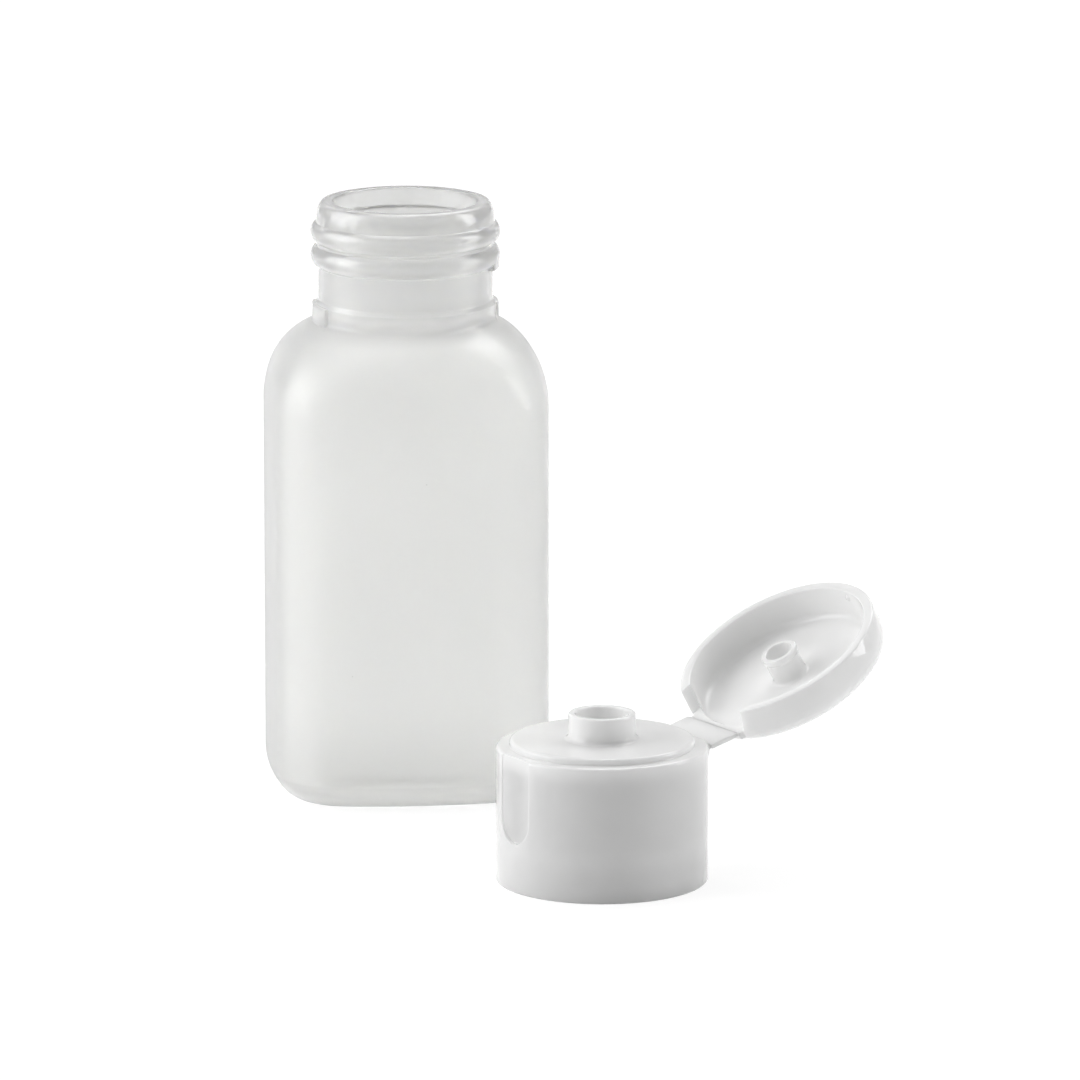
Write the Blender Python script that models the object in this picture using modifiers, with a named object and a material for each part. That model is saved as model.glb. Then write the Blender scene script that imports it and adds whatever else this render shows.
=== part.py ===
"""Frosted flip-top bottle, with its push-on closure taken off and standing open beside it.

Lengths are in metres and +Z is up. The bottle's four bulged faces look along X and Y. The closure
is drawn shut in its own frame: its axis is Z, its foot is at zero height and its hinge is on the
+X side. Two empties on the creases of the living hinge then swing the strap and the lid open.
"""
import math

import bmesh
import bpy
from mathutils import Vector

# Bottle body: a rounded square in plan, with bulged faces
BODY_WIDTH = 0.0354
FACE_RADIUS = 0.065
CORNER_RADIUS = 0.0090
BODY_WALL = 0.0009
SHOULDER_HEIGHT = 0.0490
SHOULDER_RADIUS = 0.01155
HEEL_RADIUS = 0.0043
BASE_WALL = 0.0012
STANDING_RING_WIDTH = 0.0017
PUSH_UP_HEIGHT = 0.0016
PUSH_UP_SLOPE_WIDTH = 0.0020

# Neck finish: lip, two level retaining beads with a stop under the lower one, and a ring with two
# anti-rotation lugs. Beads are placed down from the lip, the ring and lugs up from the closure's
# seat on the shoulder.
NECK_FINISH_HEIGHT = 0.0159
NECK_RADIUS = 0.0109
NECK_WALL = 0.0019
LIP_BAND_STEP = 0.00025
LIP_BEVEL_WIDTH = 0.0010
LIP_BEVEL_HEIGHT = 0.0023
LIP_CHAMFER = 0.0002
BEAD_STEP = 0.00095
BEAD_ARC_RADIUS = 0.0015
UPPER_BEAD_DEPTH = 0.0038
BEAD_SPACING = 0.00295
BEAD_STOP_INSET = 0.0001
BEAD_STOP_HEIGHT = 0.0016
BEAD_STOP_START = math.radians(-24)
BEAD_STOP_SPAN = math.radians(22)
NECK_RING_STEP = 0.0004
NECK_RING_RISE = 0.0036
NECK_RING_CHAMFER = 0.0006
NECK_FILLET = 0.0008
LUG_STEP = 0.00035
LUG_RISE = 0.0032
LUG_HEIGHT = 0.0026
LUG_EMBED = 0.0005
LUG_START = math.radians(-10)
LUG_SPAN = math.radians(37)

# Closure body: skirt, top plate, raised deck and spout
CAP_CLEARANCE = 0.00015
CAP_WALL = 0.00085
CAP_TOP_THICKNESS = 0.0018
SKIRT_GAP = 0.0010
SHELF_ROUND = 0.0004
FOOT_ROUND = 0.0003
FOOT_CHAMFER = 0.0001
RETAINER_CLEARANCE = 0.00025
RIB_THICKNESS = 0.0005
RIB_HEIGHT = 0.0022
RIB_SPAN = math.radians(7)
RIB_TURN = math.radians(-60)
PLUG_CLEARANCE = 0.00015
PLUG_WALL = 0.0008
PLUG_DEPTH = 0.0026
PLUG_TAPER = 0.0003
DECK_STEP = 0.0008
DECK_GAP = 0.0004
DECK_ROUND = 0.0004
SPOUT_RADIUS = 0.0041
SPOUT_HOLE_RADIUS = 0.0032
SPOUT_HEIGHT = 0.0032
SPOUT_FILLET = 0.0006
SPOUT_ROUND = 0.0003
ORIFICE_CLEARANCE = 0.00015
ORIFICE_LAND = 0.0009
ORIFICE_LEAD_IN = 0.0006
ORIFICE_FLARE = 0.0006
RECESS_WIDTH = 0.0059
RECESS_HEIGHT = 0.0106
RECESS_DEPTH = 0.00045

# Lid: shallow cup with a hollow stopper
LID_WALL = 0.00125
LID_TOP_THICKNESS = 0.0012
LID_ROUND = 0.0028
LID_RIM_ROUND = 0.0002
LID_FILLET = 0.0009
LID_GAP = 0.0002
SPOUT_HEADROOM = 0.0005
STOPPER_RADIUS = 0.00215
STOPPER_BEAD_RADIUS = 0.0023
STOPPER_BEAD_LENGTH = 0.0007
STOPPER_BORE_RADIUS = 0.0017
STOPPER_RECESS = 0.0006
STOPPER_ROUND = 0.0002
STOPPER_FILLET = 0.0004
STOPPER_FLOOR = 0.0002
SNAP_NUB_RADIUS = 0.0005
SNAP_NUB_HEIGHT = 0.0011
SNAP_NUB_CLEARANCE = 0.00015

# Living hinge: a strap between two creases, and the cut-outs that let it fold
HINGE_INSET = 0.00055
STRAP_WIDTH = 0.0106
STRAP_LENGTH = 0.0041
STRAP_THICKNESS = 0.0006
STRAP_ROUND = 0.0001
CREASE_GAP = 0.0003
CREASE_DROP = 0.0009
FOLD_CLEARANCE = 0.0002
SIDE_CLEARANCE = 0.0003
HINGE_PAD_DEPTH = 0.00075
HINGE_PAD_HEIGHT = 0.0010
NOTCH_FLARE = 0.0010
NOTCH_INNER_X = 0.0080
CREASE_OPENING = math.radians(75)

# Where the closure stands beside the bottle
CLOSURE_X = 0.0198
CLOSURE_Y = -0.0524
HINGE_AZIMUTH = math.radians(28)

# Facets of the round forms
RING_POINTS = 48
TURN_STEPS = 48
SHOULDER_STEPS = 9
CORNER_STEPS = 3
BEAD_STEPS = 6
HEEL_STEPS = 4
LUG_FACETS = 6
NUB_STEPS = 12
SMOOTH_ANGLE = math.radians(35)
CUT_OVERRUN = 0.001
MERGE_DISTANCE = 0.00001

# Sizes that follow from the ones above
HALF_WIDTH = BODY_WIDTH / 2
BORE_RADIUS = NECK_RADIUS - NECK_WALL
LIP_BAND_RADIUS = NECK_RADIUS + LIP_BAND_STEP
LIP_LAND_RADIUS = LIP_BAND_RADIUS - LIP_BEVEL_WIDTH
BEAD_RADIUS = NECK_RADIUS + BEAD_STEP
NECK_RING_RADIUS = NECK_RADIUS + NECK_RING_STEP
LUG_RADIUS = NECK_RING_RADIUS + LUG_STEP
CAP_BORE_RADIUS = BEAD_RADIUS + CAP_CLEARANCE
CAP_RADIUS = CAP_BORE_RADIUS + CAP_WALL
SHOULDER_REACH = CAP_RADIUS - (HALF_WIDTH - SHOULDER_RADIUS)
SEAT_HEIGHT = SHOULDER_HEIGHT + math.sqrt(SHOULDER_RADIUS**2 - SHOULDER_REACH**2)
BOTTLE_HEIGHT = SEAT_HEIGHT + NECK_FINISH_HEIGHT
SEAL_HEIGHT = NECK_FINISH_HEIGHT - SKIRT_GAP
SHELF_HEIGHT = SEAL_HEIGHT + CAP_TOP_THICKNESS
DECK_HEIGHT = SHELF_HEIGHT + DECK_STEP
SPOUT_TOP = DECK_HEIGHT + SPOUT_HEIGHT
LID_INNER_RADIUS = CAP_RADIUS - LID_WALL
DECK_RADIUS = LID_INNER_RADIUS - DECK_GAP
LID_CEILING = DECK_STEP + SPOUT_HEIGHT + SPOUT_HEADROOM - LID_GAP
LID_HEIGHT = LID_CEILING + LID_TOP_THICKNESS
ORIFICE_RADIUS = STOPPER_BEAD_RADIUS + ORIFICE_CLEARANCE
HINGE_X = CAP_RADIUS - HINGE_INSET
LOWER_CREASE_HEIGHT = SHELF_HEIGHT - CREASE_DROP
CREASE_ABOVE_RIM = STRAP_LENGTH - CREASE_DROP - LID_GAP
HINGE_PAD_FACE = HINGE_X - CREASE_GAP / 2


def arc(centre, radius, start, end, steps, height=None):
    """Points of a circular or, with its own height, elliptical arc, both ends included."""
    height = radius if height is None else height
    angles = [start + (end - start) * i / steps for i in range(steps + 1)]
    return [(centre[0] + radius * math.cos(a), centre[1] + height * math.sin(a)) for a in angles]


def corner_offset():
    """Distance of a corner arc's centre from both middle planes, where it meets the face arcs."""
    face_centre = HALF_WIDTH - FACE_RADIUS
    reach = FACE_RADIUS - CORNER_RADIUS
    return (face_centre + math.sqrt(2 * reach**2 - face_centre**2)) / 2


def body_point(angle, inset):
    """Point of the rounded-square plan whose outward normal lies at this angle."""
    offset = corner_offset()
    face_half_angle = math.atan2(offset, offset - (HALF_WIDTH - FACE_RADIUS))
    quarter = round(angle / (math.pi / 2)) * math.pi / 2
    local = angle - quarter
    if abs(local) <= face_half_angle:
        x = HALF_WIDTH - FACE_RADIUS + (FACE_RADIUS - inset) * math.cos(local)
        y = (FACE_RADIUS - inset) * math.sin(local)
    else:
        x = offset + (CORNER_RADIUS - inset) * math.cos(local)
        y = math.copysign(offset, local) + (CORNER_RADIUS - inset) * math.sin(local)
    return Vector((x * math.cos(quarter) - y * math.sin(quarter),
                   x * math.sin(quarter) + y * math.cos(quarter), 0))


def plan_ring(height, inset=0.0, neck_radius=0.0, neck_share=0.0):
    """One level of the bottle: the body's plan, the round neck, or a blend of the two."""
    ring = []
    for i in range(RING_POINTS):
        angle = 2 * math.pi * i / RING_POINTS
        neck = Vector((neck_radius * math.cos(angle), neck_radius * math.sin(angle), 0))
        point = body_point(angle, inset).lerp(neck, neck_share)
        ring.append(point + Vector((0, 0, height)))
    return ring


def shoulder_rings(inset, neck_radius, fillet):
    """Convex shoulder and concave neck fillet, tangent to the wall, each other and the neck."""
    half_width = HALF_WIDTH - inset
    radius = SHOULDER_RADIUS - inset
    centre = half_width - radius
    reach = neck_radius + fillet - centre
    rise = math.sqrt((radius + fillet)**2 - reach**2)
    turn = math.atan2(rise, reach)
    shoulder = arc((centre, SHOULDER_HEIGHT), radius, 0, turn, SHOULDER_STEPS)
    neck = arc((neck_radius + fillet, SHOULDER_HEIGHT + rise), fillet,
               turn + math.pi, math.pi, CORNER_STEPS)
    rings = []
    for r, z in shoulder + neck[1:]:
        rings.append(plan_ring(z, inset, neck_radius, (half_width - r) / (half_width - neck_radius)))
    return rings


def neck_rings(profile):
    """Round levels of the neck from a profile of radius and height."""
    return [plan_ring(z, 0, r, 1) for r, z in profile]


def bead_profile(depth, lower_foot, upper_foot):
    """Side view of a retaining bead, an arc that stands out of the neck, from bottom to top."""
    centre = BEAD_RADIUS - BEAD_ARC_RADIUS
    start = -math.acos((lower_foot - centre) / BEAD_ARC_RADIUS)
    end = math.acos((upper_foot - centre) / BEAD_ARC_RADIUS)
    return arc((centre, BOTTLE_HEIGHT - depth), BEAD_ARC_RADIUS, start, end, BEAD_STEPS)


def neck_profile():
    """Outside of the neck, from the ring up over the beads and the lip to the land's outer edge."""
    ring_top = SEAT_HEIGHT + NECK_RING_RISE
    profile = [(NECK_RING_RADIUS, ring_top - NECK_RING_CHAMFER), (NECK_RADIUS, ring_top)]
    profile += bead_profile(UPPER_BEAD_DEPTH + BEAD_SPACING, NECK_RADIUS, NECK_RADIUS)
    profile += bead_profile(UPPER_BEAD_DEPTH, NECK_RADIUS, LIP_BAND_RADIUS)
    profile += arc((LIP_LAND_RADIUS, BOTTLE_HEIGHT - LIP_BEVEL_HEIGHT),
                   LIP_BAND_RADIUS - LIP_LAND_RADIUS, 0, math.pi / 2, CORNER_STEPS, LIP_BEVEL_HEIGHT)
    return profile


def base_rings(inset, wall):
    """Push-up, standing ring and heel, from the middle of the base out to the straight wall."""
    heel_width = HEEL_RADIUS - inset
    heel_height = HEEL_RADIUS - wall
    ring_inset = HEEL_RADIUS + STANDING_RING_WIDTH
    rings = [plan_ring(PUSH_UP_HEIGHT + wall, ring_inset + PUSH_UP_SLOPE_WIDTH),
             plan_ring(wall, ring_inset)]
    for reach, rise in arc((0, 0), heel_width, -math.pi / 2, 0, HEEL_STEPS, heel_height):
        rings.append(plan_ring(HEEL_RADIUS + rise, HEEL_RADIUS - reach))
    return rings


def bottle_rings():
    """The whole skin, up the outside from the base, over the lip and down the inside."""
    outside = base_rings(0, 0) + shoulder_rings(0, NECK_RING_RADIUS, NECK_FILLET)
    outside += neck_rings(neck_profile())
    lip = neck_rings([(BORE_RADIUS + LIP_CHAMFER, BOTTLE_HEIGHT),
                      (BORE_RADIUS, BOTTLE_HEIGHT - LIP_CHAMFER)])
    inside = base_rings(BODY_WALL, BASE_WALL)
    inside += shoulder_rings(BODY_WALL, BORE_RADIUS, NECK_FILLET + BODY_WALL)
    return outside + lip + inside[::-1]


def sector_sections(inner, outer, bottom, top, start, span, chamfer):
    """Cross-sections of a block that follows a round wall, one at each step of its span."""
    sections = []
    for i in range(LUG_FACETS + 1):
        angle = start + span * i / LUG_FACETS
        outline = [(inner, bottom), (outer, bottom), (outer, top - chamfer), (inner, top)]
        sections.append([Vector((r * math.cos(angle), r * math.sin(angle), z)) for r, z in outline])
    return sections


def cap_profile():
    """Closed outline of the closure body, down the outside from the spout and back up inside."""
    quarter = math.pi / 2
    outer = arc((SPOUT_RADIUS - SPOUT_ROUND, SPOUT_TOP - SPOUT_ROUND), SPOUT_ROUND,
                quarter, 0, CORNER_STEPS)
    outer += arc((SPOUT_RADIUS + SPOUT_FILLET, DECK_HEIGHT + SPOUT_FILLET), SPOUT_FILLET,
                 math.pi, 3 * quarter, CORNER_STEPS)
    outer += arc((DECK_RADIUS - DECK_ROUND, DECK_HEIGHT - DECK_ROUND), DECK_ROUND,
                 quarter, 0, CORNER_STEPS)
    outer += [(DECK_RADIUS, SHELF_HEIGHT)]
    outer += arc((CAP_RADIUS - SHELF_ROUND, SHELF_HEIGHT - SHELF_ROUND), SHELF_ROUND,
                 quarter, 0, CORNER_STEPS)
    outer += arc((CAP_RADIUS - FOOT_ROUND, FOOT_ROUND), FOOT_ROUND, 0, -quarter, CORNER_STEPS)

    retainer_height = SEAL_HEIGHT - UPPER_BEAD_DEPTH - 2 * BEAD_SPACING
    retainer_centre = NECK_RADIUS + RETAINER_CLEARANCE + BEAD_ARC_RADIUS
    retainer_turn = math.acos((retainer_centre - CAP_BORE_RADIUS) / BEAD_ARC_RADIUS)
    inner = [(CAP_BORE_RADIUS + FOOT_CHAMFER, 0), (CAP_BORE_RADIUS, FOOT_CHAMFER)]
    inner += arc((retainer_centre, retainer_height), BEAD_ARC_RADIUS,
                 math.pi + retainer_turn, math.pi - retainer_turn, BEAD_STEPS)
    inner += [(CAP_BORE_RADIUS, SEAL_HEIGHT)]

    plug_radius = BORE_RADIUS - PLUG_CLEARANCE
    plug_foot = SEAL_HEIGHT - PLUG_DEPTH
    inner += [(plug_radius, SEAL_HEIGHT), (plug_radius, plug_foot + PLUG_DEPTH / 2),
              (plug_radius - PLUG_TAPER, plug_foot), (plug_radius - PLUG_WALL, plug_foot),
              (plug_radius - PLUG_WALL, SEAL_HEIGHT)]

    land_bottom = SHELF_HEIGHT + LID_GAP + STOPPER_RECESS
    land_top = land_bottom + ORIFICE_LAND
    inner += [(ORIFICE_RADIUS + ORIFICE_FLARE, SEAL_HEIGHT), (ORIFICE_RADIUS, land_bottom),
              (ORIFICE_RADIUS, land_top), (SPOUT_HOLE_RADIUS, land_top + ORIFICE_LEAD_IN)]
    inner += arc((SPOUT_HOLE_RADIUS + SPOUT_ROUND, SPOUT_TOP - SPOUT_ROUND), SPOUT_ROUND,
                 math.pi, quarter, CORNER_STEPS)
    return outer + inner


def lid_profile():
    """Outline of the shut lid from the middle of its top, round the rim, to the stopper's bore."""
    quarter = math.pi / 2
    bead_top = STOPPER_RECESS + STOPPER_BEAD_LENGTH
    profile = [(0, LID_HEIGHT)]
    profile += arc((CAP_RADIUS - LID_ROUND, LID_HEIGHT - LID_ROUND), LID_ROUND,
                   quarter, 0, 2 * CORNER_STEPS)
    profile += arc((CAP_RADIUS - LID_RIM_ROUND, LID_RIM_ROUND), LID_RIM_ROUND,
                   0, -quarter, CORNER_STEPS)
    profile += arc((LID_INNER_RADIUS + LID_RIM_ROUND, LID_RIM_ROUND), LID_RIM_ROUND,
                   -quarter, -math.pi, CORNER_STEPS)
    profile += arc((LID_INNER_RADIUS - LID_FILLET, LID_CEILING - LID_FILLET), LID_FILLET,
                   0, quarter, CORNER_STEPS)
    profile += arc((STOPPER_RADIUS + STOPPER_FILLET, LID_CEILING - STOPPER_FILLET), STOPPER_FILLET,
                   quarter, math.pi, CORNER_STEPS)
    profile += [(STOPPER_RADIUS, bead_top + STOPPER_ROUND), (STOPPER_BEAD_RADIUS, bead_top),
                (STOPPER_BEAD_RADIUS, STOPPER_RECESS + STOPPER_ROUND),
                (STOPPER_BEAD_RADIUS - STOPPER_ROUND, STOPPER_RECESS),
                (STOPPER_BORE_RADIUS, STOPPER_RECESS), (STOPPER_BORE_RADIUS, LID_CEILING - STOPPER_FLOOR),
                (0, LID_CEILING - STOPPER_FLOOR)]
    return profile


def plastic(name, colour, roughness, transmission):
    """Plain moulded plastic."""
    material = bpy.data.materials.new(name)
    material.use_nodes = True
    shader = material.node_tree.nodes["Principled BSDF"]
    shader.inputs["Base Color"].default_value = (*colour, 1)
    shader.inputs["Roughness"].default_value = roughness
    shader.inputs["Metallic"].default_value = 0
    shader.inputs["Transmission Weight"].default_value = transmission
    return material


def place(name, data, collection, parent, location=(0, 0, 0)):
    """New object, or empty where there is no data, in a collection and under a parent."""
    obj = bpy.data.objects.new(name, data)
    collection.objects.link(obj)
    obj.parent = parent
    obj.location = location
    return obj


def loft(name, sections):
    """Closed mesh through sections with equally many points, flat at both ends."""
    bm = bmesh.new()
    rows = [[bm.verts.new(point) for point in section] for section in sections]
    count = len(rows[0])
    for lower, upper in zip(rows, rows[1:]):
        for i in range(count):
            j = (i + 1) % count
            bm.faces.new((lower[i], lower[j], upper[j], upper[i]))
    bm.faces.new(rows[0][::-1])
    bm.faces.new(rows[-1])
    bmesh.ops.recalc_face_normals(bm, faces=bm.faces)
    mesh = bpy.data.meshes.new(name)
    bm.to_mesh(mesh)
    bm.free()
    return mesh


def turned(name, profile, closed, collection, parent, location=(0, 0, 0)):
    """Profile of radius and height, turned about Z by a Screw modifier."""
    count = len(profile)
    edges = [(i, (i + 1) % count) for i in range(count if closed else count - 1)]
    mesh = bpy.data.meshes.new(name)
    mesh.from_pydata([(r, 0, z) for r, z in profile], edges, [])
    obj = place(name, mesh, collection, parent, location)
    screw = obj.modifiers.new("turn", 'SCREW')
    screw.axis = 'Z'
    screw.steps = TURN_STEPS
    screw.render_steps = TURN_STEPS
    screw.use_merge_vertices = True
    screw.merge_threshold = MERGE_DISTANCE
    screw.use_smooth_shade = True
    return obj


def block(name, x_range, half_width, z_range, top_half_width=None):
    """Box across the hinge, or a trapezium prism where the top has its own half width."""
    top_half_width = half_width if top_half_width is None else top_half_width
    outline = [(-half_width, z_range[0]), (half_width, z_range[0]),
               (top_half_width, z_range[1]), (-top_half_width, z_range[1])]
    return loft(name, [[Vector((x, y, z)) for y, z in outline] for x in x_range])


def combine(obj, tool, operation):
    """Cut the tool out of an object, or join it on, and keep the tool as a hidden guide."""
    tool.hide_render = True
    tool.display_type = 'WIRE'
    modifier = obj.modifiers.new(tool.name, 'BOOLEAN')
    modifier.operation = operation
    modifier.solver = 'EXACT'
    modifier.object = tool


def smooth(obj):
    """Smooth shading with creases kept."""
    obj.data.shade_smooth()
    obj.data.set_sharp_from_angle(angle=SMOOTH_ANGLE)


def recess_outline():
    """Thumb recess seen from outside: straight sides open at the top and a round bottom."""
    half = RECESS_WIDTH / 2
    low = SHELF_HEIGHT - RECESS_HEIGHT + half
    high = SHELF_HEIGHT + CUT_OVERRUN
    return [(half, high)] + arc((0, low), half, 0, -math.pi, 4 * CORNER_STEPS) + [(-half, high)]


def build_bottle(parts, tools, parent, material):
    """Blow-moulded bottle, with the stop under its lower bead and the two lugs of its neck ring."""
    mesh = loft("bottle", bottle_rings())
    mesh.materials.append(material)
    bottle = place("bottle", mesh, parts, parent)
    top = BOTTLE_HEIGHT - UPPER_BEAD_DEPTH - BEAD_SPACING
    sections = sector_sections(NECK_RADIUS - LUG_EMBED, BEAD_RADIUS - BEAD_STOP_INSET,
                               top - BEAD_STOP_HEIGHT, top, BEAD_STOP_START, BEAD_STOP_SPAN, 0)
    combine(bottle, place("bead_stop", loft("bead_stop", sections), tools, bottle), 'UNION')
    top = SEAT_HEIGHT + LUG_RISE
    for i in range(2):
        sections = sector_sections(NECK_RING_RADIUS - LUG_EMBED, LUG_RADIUS, top - LUG_HEIGHT, top,
                                   LUG_START + i * math.pi, LUG_SPAN, NECK_RING_CHAMFER / 2)
        name = f"neck_lug_{i + 1}"
        combine(bottle, place(name, loft(name, sections), tools, bottle), 'UNION')
    smooth(bottle)
    return bottle


def build_cap(parts, tools, stand, material):
    """Closure body: spout, deck, skirt with its retaining bead, hinge pad and thumb recess."""
    cap = turned("cap_base", cap_profile(), True, parts, stand)
    cap.data.materials.append(material)

    rib_top = LUG_RISE - SKIRT_GAP + NECK_RING_CHAMFER
    for i in range(2):
        sections = sector_sections(CAP_BORE_RADIUS - RIB_THICKNESS, CAP_BORE_RADIUS + CAP_WALL / 2,
                                   rib_top - RIB_HEIGHT, rib_top, RIB_TURN + i * math.pi, RIB_SPAN, 0)
        name = f"skirt_rib_{i + 1}"
        combine(cap, place(name, loft(name, sections), tools, cap), 'UNION')

    pad_bottom = LOWER_CREASE_HEIGHT - HINGE_PAD_HEIGHT
    pad = block("cap_hinge_pad", (HINGE_PAD_FACE - HINGE_PAD_DEPTH, HINGE_PAD_FACE), STRAP_WIDTH / 2,
                (pad_bottom, LOWER_CREASE_HEIGHT))
    combine(cap, place("cap_hinge_pad", pad, tools, cap), 'UNION')

    outside = CAP_RADIUS + CUT_OVERRUN
    above = DECK_HEIGHT + CUT_OVERRUN
    fold_half_width = STRAP_WIDTH / 2 + SIDE_CLEARANCE
    fold = STRAP_THICKNESS / 2 + FOLD_CLEARANCE
    stowed = block("cap_strap_seat", (HINGE_X - fold, outside), fold_half_width,
                   (LOWER_CREASE_HEIGHT, above))
    combine(cap, place("cap_strap_seat", stowed, tools, cap), 'DIFFERENCE')
    swing = block("cap_strap_swing", (HINGE_PAD_FACE, outside), fold_half_width,
                  (LOWER_CREASE_HEIGHT - fold, above))
    combine(cap, place("cap_strap_swing", swing, tools, cap), 'DIFFERENCE')

    recess_depths = (-outside, RECESS_DEPTH - CAP_RADIUS)
    recess = loft("thumb_recess", [[Vector((x, y, z)) for y, z in recess_outline()]
                                   for x in recess_depths])
    combine(cap, place("thumb_recess", recess, tools, cap), 'DIFFERENCE')
    smooth(cap)
    return cap


def build_strap(parts, crease, material):
    """Living-hinge strap, from one crease to the other."""
    mesh = block("hinge_strap", (-STRAP_THICKNESS / 2, STRAP_THICKNESS / 2), STRAP_WIDTH / 2,
                 (CREASE_GAP / 2, STRAP_LENGTH - CREASE_GAP / 2))
    mesh.materials.append(material)
    strap = place("hinge_strap", mesh, parts, crease)
    bevel = strap.modifiers.new("soft_edges", 'BEVEL')
    bevel.width = STRAP_ROUND
    bevel.segments = 2
    smooth(strap)
    return strap


def build_lid(parts, tools, crease, material):
    """Lid with its stopper, the notch that the strap folds into, hinge pad and snap nub."""
    lid = turned("flip_lid", lid_profile(), False, parts, crease, (-HINGE_X, 0, -CREASE_ABOVE_RIM))
    lid.data.materials.append(material)

    outside = CAP_RADIUS + CUT_OVERRUN
    pad = block("lid_hinge_pad", (HINGE_PAD_FACE - HINGE_PAD_DEPTH, HINGE_PAD_FACE), STRAP_WIDTH / 2,
                (CREASE_ABOVE_RIM, CREASE_ABOVE_RIM + HINGE_PAD_HEIGHT))
    combine(lid, place("lid_hinge_pad", pad, tools, lid), 'UNION')

    fold = STRAP_THICKNESS / 2 + FOLD_CLEARANCE
    fold_half_width = STRAP_WIDTH / 2 + SIDE_CLEARANCE
    swing = block("lid_strap_swing", (HINGE_PAD_FACE, outside), fold_half_width,
                  (CREASE_ABOVE_RIM - fold, CREASE_ABOVE_RIM + fold))
    combine(lid, place("lid_strap_swing", swing, tools, lid), 'DIFFERENCE')
    notch = block("lid_strap_notch", (NOTCH_INNER_X, outside), fold_half_width + NOTCH_FLARE,
                  (-CUT_OVERRUN, CREASE_ABOVE_RIM), fold_half_width)
    combine(lid, place("lid_strap_notch", notch, tools, lid), 'DIFFERENCE')

    bm = bmesh.new()
    bmesh.ops.create_uvsphere(bm, u_segments=NUB_STEPS, v_segments=NUB_STEPS // 2, radius=SNAP_NUB_RADIUS)
    nub_mesh = bpy.data.meshes.new("snap_nub")
    bm.to_mesh(nub_mesh)
    bm.free()
    nub_x = -(DECK_RADIUS + SNAP_NUB_CLEARANCE + SNAP_NUB_RADIUS)
    combine(lid, place("snap_nub", nub_mesh, tools, lid, (nub_x, 0, SNAP_NUB_HEIGHT)), 'UNION')
    smooth(lid)
    return lid


def centre_over_origin(group, parts):
    """Shift the group so that the box round all its parts stands centred over the origin."""
    bpy.context.view_layer.update()
    graph = bpy.context.evaluated_depsgraph_get()
    corners = []
    for part in parts:
        solid = part.evaluated_get(graph)
        corners += [solid.matrix_world @ vertex.co for vertex in solid.data.vertices]
    xs = [corner.x for corner in corners]
    ys = [corner.y for corner in corners]
    group.location = (-(min(xs) + max(xs)) / 2, -(min(ys) + max(ys)) / 2, 0)
    bpy.context.view_layer.update()


def main():
    for old in list(bpy.data.objects):
        bpy.data.objects.remove(old, do_unlink=True)
    parts = bpy.data.collections.new("flip_top_bottle")
    tools = bpy.data.collections.new("cutters")
    for collection in (parts, tools):
        bpy.context.scene.collection.children.link(collection)

    frosted = plastic("frosted_plastic", (0.80, 0.82, 0.80), 0.45, 0.5)
    white = plastic("white_plastic", (0.88, 0.88, 0.88), 0.25, 0)
    group = place("set", None, parts, None)
    stand = place("closure_stand", None, parts, group, (CLOSURE_X, CLOSURE_Y, 0))
    stand.rotation_euler.z = HINGE_AZIMUTH
    lower_crease = place("lower_crease", None, parts, stand, (HINGE_X, 0, LOWER_CREASE_HEIGHT))
    lower_crease.rotation_euler.y = CREASE_OPENING
    upper_crease = place("upper_crease", None, parts, lower_crease, (0, 0, STRAP_LENGTH))
    upper_crease.rotation_euler.y = CREASE_OPENING

    solids = [build_bottle(parts, tools, group, frosted),
              build_cap(parts, tools, stand, white),
              build_strap(parts, lower_crease, white),
              build_lid(parts, tools, upper_crease, white)]
    centre_over_origin(group, solids)


main()
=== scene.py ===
import math

import bmesh
import bpy
from mathutils import Euler, Matrix, Vector


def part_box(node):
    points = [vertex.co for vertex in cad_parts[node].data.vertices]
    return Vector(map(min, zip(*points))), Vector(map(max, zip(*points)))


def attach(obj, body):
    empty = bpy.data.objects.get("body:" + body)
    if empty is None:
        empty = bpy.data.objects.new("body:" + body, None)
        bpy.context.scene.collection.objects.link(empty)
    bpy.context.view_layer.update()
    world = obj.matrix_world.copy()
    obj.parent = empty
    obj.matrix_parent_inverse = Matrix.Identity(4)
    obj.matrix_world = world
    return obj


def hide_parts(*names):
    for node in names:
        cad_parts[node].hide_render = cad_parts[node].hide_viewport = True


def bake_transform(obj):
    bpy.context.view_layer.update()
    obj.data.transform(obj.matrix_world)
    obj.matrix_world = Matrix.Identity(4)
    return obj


# The looks of a frosted flip-top bottle and its white closure, which stands open beside it.
# Lengths are in metres and Z is up. Each piece is drawn in its own frame, with its axis along Z,
# and then its mesh is put where the measured part stands.

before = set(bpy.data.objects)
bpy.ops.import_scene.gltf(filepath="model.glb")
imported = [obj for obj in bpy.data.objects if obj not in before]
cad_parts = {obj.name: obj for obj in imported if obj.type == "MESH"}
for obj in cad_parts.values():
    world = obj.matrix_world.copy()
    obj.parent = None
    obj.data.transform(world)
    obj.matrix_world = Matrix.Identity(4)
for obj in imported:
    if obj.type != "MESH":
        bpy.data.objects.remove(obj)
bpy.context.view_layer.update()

# Bottle body
BODY_WIDTH = 0.0354
FACE_RADIUS = 0.065
CORNER_RADIUS = 0.0090
BODY_WALL = 0.0009
SHOULDER_HEIGHT = 0.0490
SHOULDER_RADIUS = 0.01155
HEEL_RADIUS = 0.0043
BASE_WALL = 0.0012
STANDING_RING_WIDTH = 0.0017
PUSH_UP_HEIGHT = 0.0016
PUSH_UP_SLOPE_WIDTH = 0.0020
BODY_COLUMNS = 192

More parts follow.
